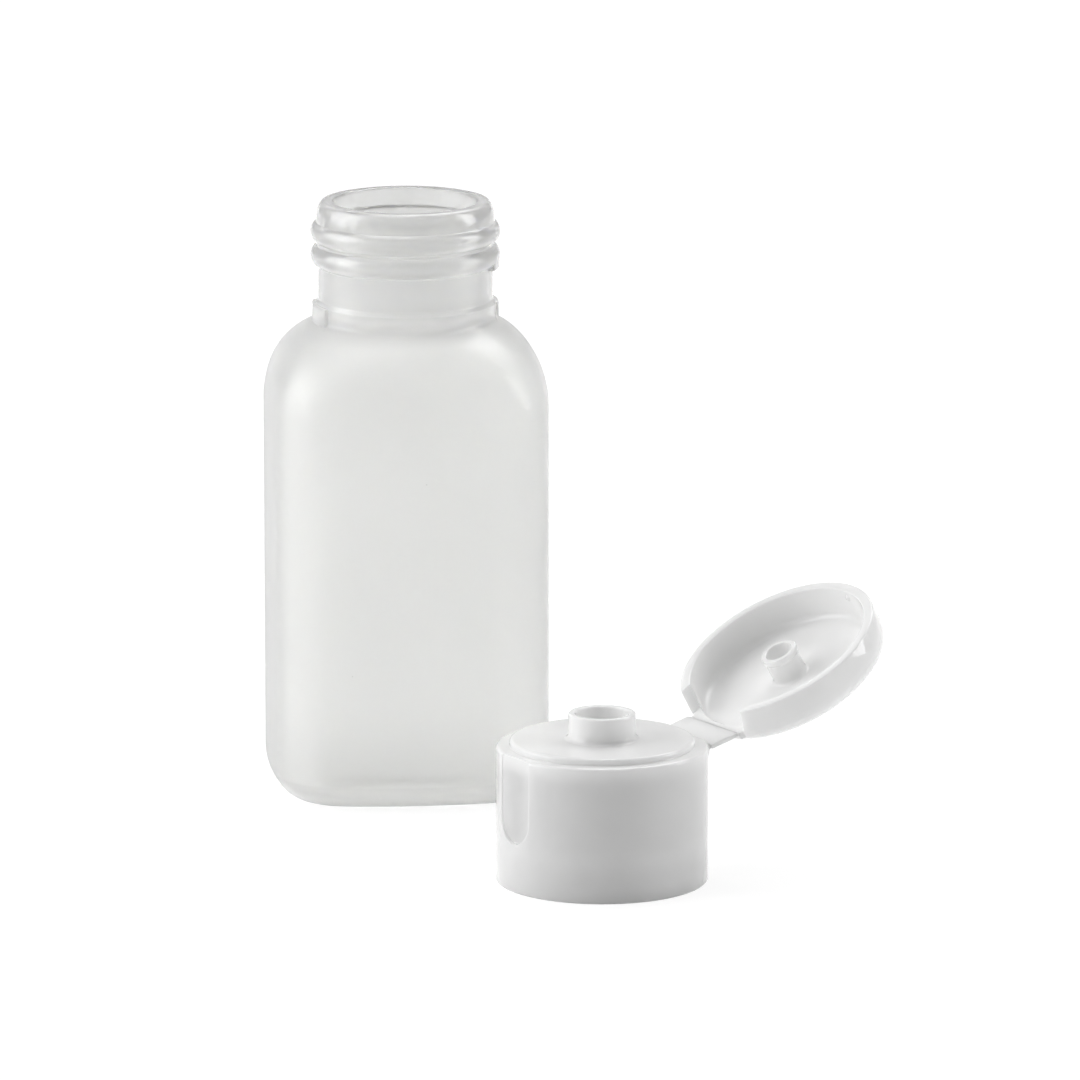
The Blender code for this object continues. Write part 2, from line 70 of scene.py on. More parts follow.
# Bottle neck
BOTTLE_HEIGHT = 0.074308
BORE_RADIUS = 0.0090
LIP_LAND_RADIUS = 0.01015
LIP_BAND_RADIUS = 0.01115
LIP_BEVEL_HEIGHT = 0.0023
LIP_EDGE = 0.0002
NECK_RADIUS = 0.0109
BEAD_RADIUS = 0.01185
BEAD_ARC_RADIUS = 0.0015
UPPER_BEAD_DEPTH = 0.0038
BEAD_SPACING = 0.00295
BETWEEN_BEADS_STEP = 0.0002
BEAD_STOP_HEIGHT = 0.0016
BEAD_STOP_START = math.radians(-24)
BEAD_STOP_SPAN = math.radians(22)
BEAD_STOP_ROOT = 0.0004
BEAD_STOP_INSET = 0.0001
BEAD_STOP_OVERLAP = 0.0003
NECK_RING_RADIUS = 0.0113
NECK_RING_DEPTH = 0.0123
NECK_RING_EDGE = 0.0003
NECK_RING_RIM_HEIGHT = 0.0005
NECK_RING_RUN = 0.0016
NECK_FILLET = 0.0008
LUG_RADIUS = 0.01165
LUG_DEPTH = 0.0127
LUG_HEIGHT = 0.0026
LUG_START = math.radians(-10)
LUG_SPAN = math.radians(37)
LUG_ROOT = 0.0005

# Closure body
CAP_BORE_RADIUS = 0.0120
CAP_RADIUS = 0.01285
SEAL_HEIGHT = 0.0149
SHELF_HEIGHT = SEAL_HEIGHT + 0.0018
DECK_HEIGHT = SHELF_HEIGHT + 0.0008
DECK_RADIUS = 0.0112
SPOUT_RADIUS = 0.0041
SPOUT_HOLE_RADIUS = 0.0032
SPOUT_HOLE_START = 0.0015
SPOUT_TOP = DECK_HEIGHT + 0.0032
ORIFICE_RADIUS = 0.00245
ORIFICE_BOTTOM = DECK_HEIGHT
ORIFICE_LENGTH = 0.0009
ORIFICE_FLARE = 0.0006
PLUG_RADIUS = 0.00885
PLUG_WALL = 0.0008
PLUG_DEPTH = 0.0026
PLUG_LEAD_WIDTH = 0.0003
PLUG_LEAD_HEIGHT = 0.0013
RETAINER_REACH = 0.00085
RETAINER_HALF_HEIGHT = 0.0013
RETAINER_CREST = 0.0007
RIB_BOTTOM = 0.0006
RIB_TOP = 0.0028
RIB_THICKNESS = 0.0005
RIB_ROOT = 0.0004
RIB_SPAN = math.radians(7)
RIB_TURN = math.radians(-60)
RECESS_WIDTH = 0.0059
RECESS_HEIGHT = 0.0106
RECESS_DEPTH = 0.00045
RECESS_RIM_SPREAD = 0.0006
RECESS_RIM_DEPTH = 0.00005
RECESS_FLOOR_SPREAD = 0.00008

# Lid
LID_INNER_RADIUS = 0.0116
LID_CEILING = 0.0043
LID_HEIGHT = 0.0055
LID_ROUND = 0.0028
LID_FILLET = 0.0009
STOPPER_RADIUS = 0.00215
STOPPER_BEAD_RADIUS = 0.0023
STOPPER_BEAD_HEIGHT = 0.0007
STOPPER_BEAD_FOOT = 0.0009
STOPPER_BORE_RADIUS = 0.0017
STOPPER_RECESS = 0.0006
STOPPER_TIP_EDGE = 0.00015
CEILING_DIMPLE = 0.0002
NUB_RADIUS = 0.0005
NUB_REACH = 0.00065
NUB_HEIGHT = 0.0011

# Living hinge
HINGE_X = 0.0123
STRAP_WIDTH = 0.0106
STRAP_LENGTH = 0.0041
STRAP_THICKNESS = 0.0006
STRAP_EDGE = 0.00014
CREASE_HEIGHT = SHELF_HEIGHT - 0.0009
CREASE_ABOVE_RIM = 0.0030
CREASE_GAP = 0.00015
CREASE_OPENING = math.radians(75)
HINGE_PAD_FACE = HINGE_X - CREASE_GAP
HINGE_PAD_DEPTH = 0.00075
HINGE_PAD_HEIGHT = 0.001
HINGE_PAD_EDGE = 0.0002
HINGE_PAD_FOOT_GAP = 0.0006
SEAT_DEPTH = 0.0005
SWING_HEIGHT = 0.0005
FOLD_CLEARANCE = 0.0003
NOTCH_START_X = 0.008
NOTCH_SPREAD = 0.001
FILM_THICKNESS = 0.00028
FILM_SIDE_GAP = 0.0001
FILM_STRAP_ROOT = 0.0005
FILM_PAD_ROOT_X = 0.00045
FILM_PAD_ROOT_Z = 0.0003
FILM_BEND_SHARE = 0.4

# Edges and working sizes that the pieces share
CRISP_EDGE = 0.0001
FINE_EDGE = 0.0002
EASED_EDGE = 0.0003
SOFT_EDGE = 0.0004
FULL_EDGE = 0.0006
SECTOR_EDGE = 0.00022
CUTTER_REACH = 0.001
WELD_DISTANCE = 0.000002
TURNED_COLUMNS = 160
SHARP_ANGLE = math.radians(32)
FILM_SHARP_ANGLE = math.radians(60)

# Where the closure stands beside the bottle
CLOSURE_X = 0.0198
CLOSURE_Y = -0.0524
HINGE_AZIMUTH = math.radians(28)

# White plastic: colours, features a metre, and sizes and depths in metres
WHITE_PLASTIC_DARK = (0.89, 0.89, 0.887)
WHITE_PLASTIC_LIGHT = (0.915, 0.915, 0.912)
WHITE_SCATTER = 0.0026
WHITE_GRAIN_DEPTH = 0.000002
FLOW_SCALE = 140
GRAIN_SCALE = 2600
LATHE_PITCH = 0.00022
DUST = (0.62, 0.61, 0.58, 1)
DUST_SCALE = 210
DUST_SIZE = 0.00009
DUST_SHARE = 0.16

# Frosted plastic, in the same units
FROSTED_DARK = (0.955, 0.957, 0.944)
FROSTED_LIGHT = (0.971, 0.973, 0.961)
FROSTED_SCATTER = 0.003
FROST_DEPTH = 0.000018
CLOUD_SCALE = 55
FROST_SCALE = 2200
FLECK = (0.50, 0.50, 0.47, 1)
FLECK_SCALE = 110
FLECK_SIZE = 0.00013
FLECK_SHARE = 0.35
SEAM_CORE = 0.00004
SEAM_EDGE = 0.00012
NECK_DARK = (0.935, 0.937, 0.926)
NECK_LIGHT = (0.950, 0.952, 0.942)
NECK_SCATTER = 0.002
CLEAR_NECK_START = 0.0575
CLEAR_NECK_END = 0.0625
# Darker band near the base: partly the thicker base plastic, partly painted shade of the less-lit inner
# floor seen through the wall
PAINTED_BASE_SHADE = (0.86, 0.86, 0.85, 1)
PAINTED_BASE_SHADE_START = 0.0014
PAINTED_BASE_SHADE_FULL = 0.0032
PAINTED_BASE_SHADE_TOP = 0.0030
PAINTED_BASE_SHADE_END = 0.0034

# Floor and backdrop
WHITE = (1, 1, 1, 1)
FLOOR_GREY = (0.93, 0.93, 0.93, 1)
FLOOR_RADIUS = 4.0
FLOOR_GLOW = 1.15
FLOOR_GLOW_SHARE = 0.72
BACKDROP_SEEN = 0.72
BACKDROP_MIRRORED = 0.4
BACKDROP_DIM = 0.16

# Lamps: azimuth and elevation in degrees, distance, width and height in metres, watts
LAMPS = {
    "key_left": (-95, 20, 1.7, (1.5, 1.5), 22),
    "soft_top": (-100, 80, 1.7, (0.9, 0.9), 5.6),
    "fill_right": (90, 18, 1.7, (0.6, 1.2), 9),
    "back_right": (152, 52, 1.8, (1.2, 0.9), 14)}
LAMP_TARGET = Vector((0.012, -0.02, 0.035))

# Camera of the photograph: the lens and its sensor in millimetres
VIEW_TURN = math.radians(-5)
VIEW_ELEVATION = math.radians(12.3)
VIEW_DISTANCE = 1.25
VIEW_CENTRE_X = 0.01679
VIEW_CENTRE_Z = 0.03098
VIEW_LENS = 332.1
VIEW_SENSOR_WIDTH = 36
VIEW_NEAREST = 0.05
VIEW_FARTHEST = 20


class Wire:
    """One output socket of a node tree. Arithmetic on it adds the tree's Math nodes."""

    def __init__(self, tree, socket=None):
        self.tree = tree
        self.socket = socket

    def node(self, kind, settings=None, sockets=None, output=0):
        """Any node: its settings are made first, then the values or links of its sockets."""
        made = self.tree.nodes.new(kind)
        for name, value in (settings or {}).items():
            if name == "stops":
                while len(made.color_ramp.elements) < len(value):
                    made.color_ramp.elements.new(0.5)
                for element, (place, colour) in zip(made.color_ramp.elements, value):
                    element.position = place
                    element.color = colour
            else:
                setattr(made, name, value)
        for key, value in (sockets or {}).items():
            target = made.inputs[key]
            if isinstance(value, Wire):
                self.tree.links.new(value.socket, target)
            else:
                target.default_value = value
        return Wire(self.tree, made.outputs[output])

    def math(self, operation, *values):
        return self.node("ShaderNodeMath", {"operation": operation}, dict(enumerate(values)))

    def __add__(self, other):
        return self.math('ADD', self, other)

    def __radd__(self, other):
        return self.math('ADD', other, self)

    def __sub__(self, other):
        return self.math('SUBTRACT', self, other)

    def __rsub__(self, other):
        return self.math('SUBTRACT', other, self)

    def __mul__(self, other):
        return self.math('MULTIPLY', self, other)

    def __rmul__(self, other):
        return self.math('MULTIPLY', other, self)

    def __truediv__(self, other):
        return self.math('DIVIDE', self, other)

    def __rtruediv__(self, other):
        return self.math('DIVIDE', other, self)

    def between(self, low, high):
        """0 below low, 1 above high, and a smooth step from one to the other."""
        return self.node("ShaderNodeMapRange", {"interpolation_type": 'SMOOTHSTEP'},
                         {"Value": self, "From Min": low, "From Max": high})

    def part(self, axis):
        """One component of a vector."""
        return self.node("ShaderNodeSeparateXYZ", None, {0: self}, axis)


# Forms that the pieces share


def skin_tree():
    """Geometry tree that wraps a side profile round an axis, round or as a bulged square.

    A profile point's X is its radius where the piece is round, Y its inset from the square plan,
    Z its height; the attribute "roundness" says how far it is round rather than square.
    """
    tree = bpy.data.node_groups.new("wrapped_skin", 'GeometryNodeTree')
    tree.interface.new_socket("Profile", in_out='INPUT', socket_type='NodeSocketGeometry')
    for name, kind in (("Columns", 'NodeSocketInt'), ("Rows", 'NodeSocketInt'),
                       ("Half Width", 'NodeSocketFloat'), ("Face Radius", 'NodeSocketFloat'),
                       ("Corner Radius", 'NodeSocketFloat'), ("Corner Offset", 'NodeSocketFloat'),
                       ("Weld", 'NodeSocketFloat'), ("Material", 'NodeSocketMaterial')):
        tree.interface.new_socket(name, in_out='INPUT', socket_type=kind)
    tree.interface.new_socket("Piece", in_out='OUTPUT', socket_type='NodeSocketGeometry')

    w = Wire(tree)
    group = tree.nodes.new("NodeGroupInput")
    given = {socket.name: Wire(tree, socket) for socket in group.outputs if socket.name}
    columns, rows = given["Columns"], given["Rows"]
    grid = w.node("GeometryNodeMeshGrid", None,
                  {"Vertices X": columns + 1, "Vertices Y": rows})
    index = w.node("GeometryNodeInputIndex")
    column = w.math('FLOOR', (index + 0.5) / rows)
    row = index - column * rows

    def sampled(value, data_type):
        return w.node("GeometryNodeSampleIndex", {"data_type": data_type, "domain": 'POINT'},
                      {"Geometry": given["Profile"], "Value": value, "Index": row})

    point = sampled(w.node("GeometryNodeInputPosition"), 'FLOAT_VECTOR')
    roundness = sampled(w.node("GeometryNodeInputNamedAttribute", {"data_type": 'FLOAT'},
                               {"Name": "roundness"}), 'FLOAT')
    radius, inset, height = (point.part(axis) for axis in range(3))

    angle = column / columns * math.tau
    quarter = w.math('ROUND', angle / (math.pi / 2)) * (math.pi / 2)
    local = angle - quarter
    run, rise = w.math('COSINE', local), w.math('SINE', local)
    offset, face = given["Corner Offset"], given["Face Radius"]
    face_centre = given["Half Width"] - face
    face_half_angle = w.math('ARCTAN2', offset, offset - face_centre)
    on_face = w.math('LESS_THAN', w.math('ABSOLUTE', local), face_half_angle)
    corner_reach, face_reach = given["Corner Radius"] - inset, face - inset
    in_corner = 1 - on_face
    square_x = on_face * (face_centre + face_reach * run) + in_corner * (offset + corner_reach * run)
    side = w.math('SIGN', local) * offset
    square_y = on_face * face_reach * rise + in_corner * (side + corner_reach * rise)
    turn, lean = w.math('COSINE', quarter), w.math('SINE', quarter)
    x = (square_x * turn - square_y * lean) * (1 - roundness)
    y = (square_x * lean + square_y * turn) * (1 - roundness)
    x = x + w.math('COSINE', angle) * radius * roundness
    y = y + w.math('SINE', angle) * radius * roundness
    place = w.node("ShaderNodeCombineXYZ", None, {0: x, 1: y, 2: height})

    skin = w.node("GeometryNodeSetPosition", None, {"Geometry": grid, "Position": place})
    skin = w.node("GeometryNodeMergeByDistance", None, {"Geometry": skin, "Distance": given["Weld"]})
    skin = w.node("GeometryNodeSetShadeSmooth", None, {"Geometry": skin})
    skin = w.node("GeometryNodeRealizeInstances", None, {"Geometry": skin})
    skin = w.node("GeometryNodeSetMaterial", None, {"Geometry": skin, "Material": given["Material"]})
    out = tree.nodes.new("NodeGroupOutput")
    tree.links.new(skin.socket, out.inputs["Piece"])
    return tree


def corner_offset():
    """Distance of a corner arc's centre from both middle planes of the body."""
    face_centre = BODY_WIDTH / 2 - FACE_RADIUS
    reach = FACE_RADIUS - CORNER_RADIUS
    return (face_centre + math.sqrt(2 * reach**2 - face_centre**2)) / 2


def placed(name, mesh, matrix, material):
    """Finished piece: its object at the origin, its place in its mesh, its faces outward."""
    mesh.transform(matrix)
    bm = bmesh.new()
    bm.from_mesh(mesh)
    if bm.calc_volume(signed=True) < 0:
        bmesh.ops.reverse_faces(bm, faces=bm.faces)
    bm.to_mesh(mesh)
    bm.free()
    mesh.materials.clear()
    mesh.materials.append(material)
    piece = bpy.data.objects.new(name, mesh)
    bpy.context.scene.collection.objects.link(piece)
    return piece


def wrapped(name, profile, tree, columns, material):
    """Mesh that the skin tree makes of a profile of radius, inset, height and roundness."""
    mesh = bpy.data.meshes.new(name)
    mesh.from_pydata([(radius, inset, height) for radius, inset, height, _ in profile], [], [])
    roundness = mesh.attributes.new("roundness", 'FLOAT', 'POINT')
    roundness.data.foreach_set("value", [point[3] for point in profile])
    guide = bpy.data.objects.new(name, mesh)
    bpy.context.scene.collection.objects.link(guide)
    modifier = guide.modifiers.new("skin", 'NODES')
    modifier.node_group = tree
    given = {"Columns": columns, "Rows": len(profile), "Half Width": BODY_WIDTH / 2,
             "Face Radius": FACE_RADIUS, "Corner Radius": CORNER_RADIUS,
             "Corner Offset": corner_offset(), "Weld": WELD_DISTANCE, "Material": material}
    for item in tree.interface.items_tree:
        if item.in_out == 'INPUT' and item.name in given:
            modifier[item.identifier] = given[item.name]
    graph = bpy.context.evaluated_depsgraph_get()
    made = bpy.data.meshes.new_from_object(guide.evaluated_get(graph))
    guide.modifiers.remove(modifier)
    bpy.data.objects.remove(guide)
    return made


def arc(centre, radius, start, end, steps, height=None):
    """Points of a circular or, with its own height, elliptical arc."""
    height = radius if height is None else height
    angles = [start + (end - start) * i / steps for i in range(steps + 1)]
    return [(centre[0] + radius * math.cos(a), centre[1] + height * math.sin(a)) for a in angles]


def rounded(corners, closed, steps=6):
    """Side profile through corners of radius, height and rounding."""
    count = len(corners)
    path = []
    for i, (x, z, rounding) in enumerate(corners):
        here = Vector((x, z))
        if rounding == 0 or (not closed and i in (0, count - 1)):
            path.append((x, z))
            continue
        before = (Vector(corners[i - 1][:2]) - here).normalized()
        after = (Vector(corners[(i + 1) % count][:2]) - here).normalized()
        half = before.angle(after) / 2
        reach = rounding / math.tan(half)
        centre = here + (before + after).normalized() * rounding / math.sin(half)
        first, last = here + before * reach - centre, here + after * reach - centre
        sweep = first.angle_signed(last)
        for k in range(steps + 1):
            bend = -sweep * k / steps
            arm = Vector((first.x * math.cos(bend) - first.y * math.sin(bend),
                          first.x * math.sin(bend) + first.y * math.cos(bend)))
            path.append(tuple(centre + arm))
    if closed:
        path.append(path[0])
    return path


def solid_section(name, sections):
    """Closed mesh through sections with equally many points."""
    bm = bmesh.new()
    rows = [[bm.verts.new(point) for point in section] for section in sections]
    count = len(rows[0])
    for lower, upper in zip(rows, rows[1:]):
        for i in range(count):
            j = (i + 1) % count
            bm.faces.new((lower[i], lower[j], upper[j], upper[i]))
    bm.faces.new(rows[0][::-1])
    bm.faces.new(rows[-1])
    bmesh.ops.recalc_face_normals(bm, faces=bm.faces)
    mesh = bpy.data.meshes.new(name)
    bm.to_mesh(mesh)
    bm.free()
    return mesh


def block(name, x_range, half_width, z_range, top_half_width=None):
    """Box across the hinge, or a trapezium prism where the top has its own half width."""
    top_half_width = half_width if top_half_width is None else top_half_width
    outline = [(-half_width, z_range[0]), (half_width, z_range[0]),
               (top_half_width, z_range[1]), (-top_half_width, z_range[1])]
    return solid_section(name, [[Vector((x, y, z)) for y, z in outline] for x in x_range])


def softened(mesh, width, segments=3):
    """The same mesh with its edges rounded."""
    guide = bpy.data.objects.new("softened", mesh)
    bpy.context.scene.collection.objects.link(guide)
    bevel = guide.modifiers.new("edges", 'BEVEL')
    bevel.width = width
    bevel.segments = segments
    bevel.limit_method = 'ANGLE'
    graph = bpy.context.evaluated_depsgraph_get()
    made = bpy.data.meshes.new_from_object(guide.evaluated_get(graph))
    bpy.data.objects.remove(guide)
    return made


def shaped(name, mesh, tools):
    """Mesh with tools joined on or cut out, in turn."""
    work = bpy.data.objects.new(name, mesh)
    bpy.context.scene.collection.objects.link(work)
    made_tools = []
    for tool_mesh, operation in tools:
        tool = bpy.data.objects.new("tool", tool_mesh)
        bpy.context.scene.collection.objects.link(tool)
        modifier = work.modifiers.new("tool", 'BOOLEAN')
        modifier.operation = operation
        modifier.solver = 'EXACT'
        modifier.object = tool
        made_tools.append(tool)
    graph = bpy.context.evaluated_depsgraph_get()
    made = bpy.data.meshes.new_from_object(work.evaluated_get(graph))
    for obj in [work] + made_tools:
        bpy.data.objects.remove(obj)
    made.shade_smooth()
    made.set_sharp_from_angle(angle=SHARP_ANGLE)
    return made


# Finishes


def new_material(name):
    """Empty node material, its Wire, and its output node."""
    material = bpy.data.materials.new(name)
    material.use_nodes = True
    tree = material.node_tree
    tree.nodes.clear()
    return material, Wire(tree), tree.nodes.new("ShaderNodeOutputMaterial")


def own_frame(w, matrix):
    """Object coordinates turned into a piece's own frame."""
    coordinates = w.node("ShaderNodeTexCoord", None, None, "Object")
    return w.node("ShaderNodeMapping", {"vector_type": 'TEXTURE'},
                  {"Vector": coordinates, "Location": matrix.to_translation(),
                   "Rotation": matrix.to_euler('XYZ')})


def noise(w, vector, scale, detail=2.0, roughness=0.5):
    """Soft noise between 0 and 1 at a number of features a metre."""
    return w.node("ShaderNodeTexNoise", {"noise_dimensions": '3D'},
                  {"Vector": vector, "Scale": scale, "Detail": detail, "Roughness": roughness})


def specks(w, vector, scale, size, share):
    """Sparse round specks, 1 on a speck and 0 elsewhere."""
    distance = w.node("ShaderNodeTexVoronoi", {"voronoi_dimensions": '3D'},
                      {"Vector": vector, "Scale": scale}, "Distance")
    chosen = w.node("ShaderNodeTexVoronoi", {"voronoi_dimensions": '3D'},
                    {"Vector": vector, "Scale": scale}, "Color").part(0)
    return (1 - distance.between(size * scale / 2, size * scale)) * w.math(
        'LESS_THAN', chosen, share)


def tint(w, mask, low, high):
    """Colour that runs from low to high with a mask."""
    return w.node("ShaderNodeMix", {"data_type": 'RGBA'}, {0: mask, 6: (*low, 1), 7: (*high, 1)}, 2)


def bump(w, height, distance, normal=None):
    """Normal that a height field of 0 to 1 gives, with its depth in metres."""
    sockets = {"Height": height, "Strength": 1.0, "Distance": distance}
    if normal is not None:
        sockets["Normal"] = normal
    return w.node("ShaderNodeBump", None, sockets)


def white_plastic(name, matrix):
    """Glossy white moulded plastic: faint flow in the gloss, dust, and lathe marks on flat faces."""
    material, w, out = new_material(name)
    place = own_frame(w, matrix)
    flow = noise(w, place, FLOW_SCALE, 3)
    grain = noise(w, place, GRAIN_SCALE, 2)
    dust = specks(w, place, DUST_SCALE, DUST_SIZE, DUST_SHARE)
    x, y = place.part(0), place.part(1)
    radius = w.math('SQRT', x * x + y * y)
    lathe = w.math('SINE', radius * (math.tau / LATHE_PITCH)) * 0.5 + 0.5
    height = grain * 0.35 + flow * 0.55 + lathe * 0.10
    colour = tint(w, flow.between(0.35, 0.75), WHITE_PLASTIC_DARK, WHITE_PLASTIC_LIGHT)
    colour = w.node("ShaderNodeMix", {"data_type": 'RGBA'},
                    {0: dust * 0.35, 6: colour, 7: DUST}, 2)
    rough = 0.05 + flow * 0.04 + dust * 0.25
    shader = w.node("ShaderNodeBsdfPrincipled", None, {
        "Base Color": colour, "Roughness": rough, "IOR": 1.49, "Subsurface Weight": 0.7,
        "Subsurface Radius": (1.0, 1.0, 1.0), "Subsurface Scale": WHITE_SCATTER,
        "Normal": bump(w, height, WHITE_GRAIN_DEPTH)})
    w.tree.links.new(shader.socket, out.inputs["Surface"])
    return material


def frosted_plastic(name, matrix):
    """Natural translucent plastic, frosted on the body and smoother and clearer on the neck, with
    painted shade in a band near the base.
    """
    material, w, out = new_material(name)
    place = own_frame(w, matrix)
    y, z = place.part(1), place.part(2)
    clear = z.between(CLEAR_NECK_START, CLEAR_NECK_END)
    cloud = noise(w, place, CLOUD_SCALE, 3)
    frost = noise(w, place, FROST_SCALE, 3, 0.6)
    fleck = specks(w, place, FLECK_SCALE, FLECK_SIZE, FLECK_SHARE)
    seam = (1 - w.math('ABSOLUTE', y).between(SEAM_CORE, SEAM_EDGE)) * (1 - clear)
    colour = tint(w, cloud.between(0.3, 0.75), FROSTED_DARK, FROSTED_LIGHT)
    # Painted shade: a darker band low on the body, partly the thicker base plastic, partly standing in
    # for the less-lit inner floor seen through the wall
    painted_base_shade = (1 - z.between(PAINTED_BASE_SHADE_TOP, PAINTED_BASE_SHADE_END)) * (
        0.03 + z.between(PAINTED_BASE_SHADE_START, PAINTED_BASE_SHADE_FULL) * 0.87)
    colour = w.node("ShaderNodeMix", {"data_type": 'RGBA'},
                    {0: painted_base_shade, 6: colour, 7: PAINTED_BASE_SHADE}, 2)
    neck_colour = tint(w, cloud, NECK_DARK, NECK_LIGHT)
    colour = w.node("ShaderNodeMix", {"data_type": 'RGBA'},
                    {0: fleck * 0.4, 6: colour, 7: FLECK}, 2)
    height = frost * (1 - clear) * 0.6 + cloud * 0.1 + seam * 0.8
    normal = bump(w, height, FROST_DEPTH)
    body = w.node("ShaderNodeBsdfPrincipled", None, {
        "Base Color": colour, "Roughness": 0.40 + cloud * 0.10 - seam * 0.1, "IOR": 1.15,
        "Coat Weight": 0.45, "Coat Roughness": 0.22, "Sheen Weight": 0.8, "Sheen Roughness": 0.45,
        "Transmission Weight": 0.72, "Subsurface Weight": 1.0, "Subsurface Radius": (1.0, 1.0, 0.95),
        "Subsurface Scale": FROSTED_SCATTER, "Normal": normal})
    neck = w.node("ShaderNodeBsdfPrincipled", None, {
        "Base Color": neck_colour, "Roughness": 0.17 + cloud * 0.06, "IOR": 1.45,
        "Coat Weight": 0.7, "Coat Roughness": 0.08,
        "Transmission Weight": 0.66, "Subsurface Weight": 1.0, "Subsurface Radius": (1.0, 1.0, 0.95),
        "Subsurface Scale": NECK_SCATTER, "Normal": normal})
    mixed = w.node("ShaderNodeMixShader", None, {0: clear, 1: body, 2: neck})
    w.tree.links.new(mixed.socket, out.inputs["Surface"])
    return material


# The bottle


def body_profile(inset, wall):
    """Side profile of one skin of the body from the middle of the base up to the straight wall."""
    ring_inset = HEEL_RADIUS + STANDING_RING_WIDTH
    slope = PUSH_UP_SLOPE_WIDTH
    points = []
    for i in range(11):
        share = i / 10
        rise = PUSH_UP_HEIGHT * (0.5 + 0.5 * math.cos(math.pi * share))
        points.append((0, ring_inset + slope * (1 - share), rise + wall, 0))
    for reach, rise in arc((0, 0), HEEL_RADIUS - inset, -math.pi / 2, 0, 12, HEEL_RADIUS - wall):
        points.append((0, HEEL_RADIUS - reach, HEEL_RADIUS + rise, 0))
    return points


def shoulder_profile(inset, neck_radius, fillet):
    """Side profile of one skin of the shoulder, with the fillet into the round neck."""
    half_width = BODY_WIDTH / 2 - inset
    radius = SHOULDER_RADIUS - inset
    centre = half_width - radius
    reach = neck_radius + fillet - centre
    rise = math.sqrt((radius + fillet)**2 - reach**2)
    turn = math.atan2(rise, reach)
    path = arc((centre, SHOULDER_HEIGHT), radius, 0, turn, 30)
    path += arc((neck_radius + fillet, SHOULDER_HEIGHT + rise), fillet, turn + math.pi, math.pi, 8)[1:]
    return [(neck_radius, inset, z, (half_width - r) / (half_width - neck_radius)) for r, z in path]


def bead(depth, lower_foot, upper_foot):
    """Side view of a retaining bead from bottom to top."""
    centre = BEAD_RADIUS - BEAD_ARC_RADIUS
    start = -math.acos((lower_foot - centre) / BEAD_ARC_RADIUS)
    end = math.acos((upper_foot - centre) / BEAD_ARC_RADIUS)
    return arc((centre, BOTTLE_HEIGHT - depth), BEAD_ARC_RADIUS, start, end, 14)


def bottle_profile():
    """Whole skin, up the outside from the base, over the lip and down the inside."""
    ring_top = BOTTLE_HEIGHT - NECK_RING_DEPTH
    between_beads = NECK_RADIUS + BETWEEN_BEADS_STEP
    neck = rounded([(NECK_RING_RADIUS, ring_top - NECK_RING_RUN, 0),
                    (NECK_RING_RADIUS, ring_top - NECK_RING_RIM_HEIGHT, NECK_RING_EDGE),
                    (NECK_RADIUS, ring_top, NECK_RING_EDGE),
                    (NECK_RADIUS, ring_top + NECK_RING_RUN, 0)], False)
    neck += bead(UPPER_BEAD_DEPTH + BEAD_SPACING, NECK_RADIUS, between_beads)
    neck += bead(UPPER_BEAD_DEPTH, between_beads, LIP_BAND_RADIUS)
    neck += arc((LIP_LAND_RADIUS, BOTTLE_HEIGHT - LIP_BEVEL_HEIGHT),
                LIP_BAND_RADIUS - LIP_LAND_RADIUS, 0, math.pi / 2, 10, LIP_BEVEL_HEIGHT)
    neck += arc((BORE_RADIUS + LIP_EDGE, BOTTLE_HEIGHT - LIP_EDGE), LIP_EDGE, math.pi / 2, math.pi, 5)
    points = body_profile(0, 0) + shoulder_profile(0, NECK_RING_RADIUS, NECK_FILLET)
    points += [(r, 0, z, 1) for r, z in neck]
    inside = body_profile(BODY_WALL, BASE_WALL)
    inside += shoulder_profile(BODY_WALL, BORE_RADIUS, NECK_FILLET + BODY_WALL)
    return points + inside[::-1]


def capped(mesh):
    """Mesh with its open rims closed by a face each."""
    bm = bmesh.new()
    bm.from_mesh(mesh)
    rims = [edge for edge in bm.edges if edge.is_boundary]
    bmesh.ops.holes_fill(bm, edges=rims)
    bmesh.ops.recalc_face_normals(bm, faces=bm.faces)
    bm.to_mesh(mesh)
    bm.free()
    return mesh


def sector(name, inner, outer, bottom, top, start, span, steps=16):
    """Block that follows the round neck, with soft edges."""
    sections = []
    for i in range(steps + 1):
        angle = start + span * i / steps
        outline = [(inner, bottom), (outer, bottom), (outer, top), (inner, top)]
        sections.append([Vector((r * math.cos(angle), r * math.sin(angle), z)) for r, z in outline])
    return softened(solid_section(name, sections), SECTOR_EDGE)


def make_bottle(tree, matrix):
    """Frosted bottle in one skin, with its two lugs and the stop under the lower bead."""
    material = frosted_plastic("frosted_plastic_skin", matrix)
    skin = capped(wrapped("bottle_skin", bottle_profile(), tree, BODY_COLUMNS, material))
    lug_top = BOTTLE_HEIGHT - LUG_DEPTH
    tools = [(sector("lug", NECK_RING_RADIUS - LUG_ROOT, LUG_RADIUS, lug_top - LUG_HEIGHT, lug_top,
                     LUG_START + i * math.pi, LUG_SPAN), 'UNION') for i in range(2)]
    stop_top = BOTTLE_HEIGHT - UPPER_BEAD_DEPTH - BEAD_SPACING
    tools.append((sector("bead_stop", NECK_RADIUS - BEAD_STOP_ROOT, BEAD_RADIUS - BEAD_STOP_INSET,
                         stop_top - BEAD_STOP_HEIGHT, stop_top + BEAD_STOP_OVERLAP,
                         BEAD_STOP_START, BEAD_STOP_SPAN), 'UNION'))
    bottle = placed("bottle_skin", shaped("bottle_skin", skin, tools), matrix, material)
    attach(bottle, "bottle")
    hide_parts("bottle")


# The closure


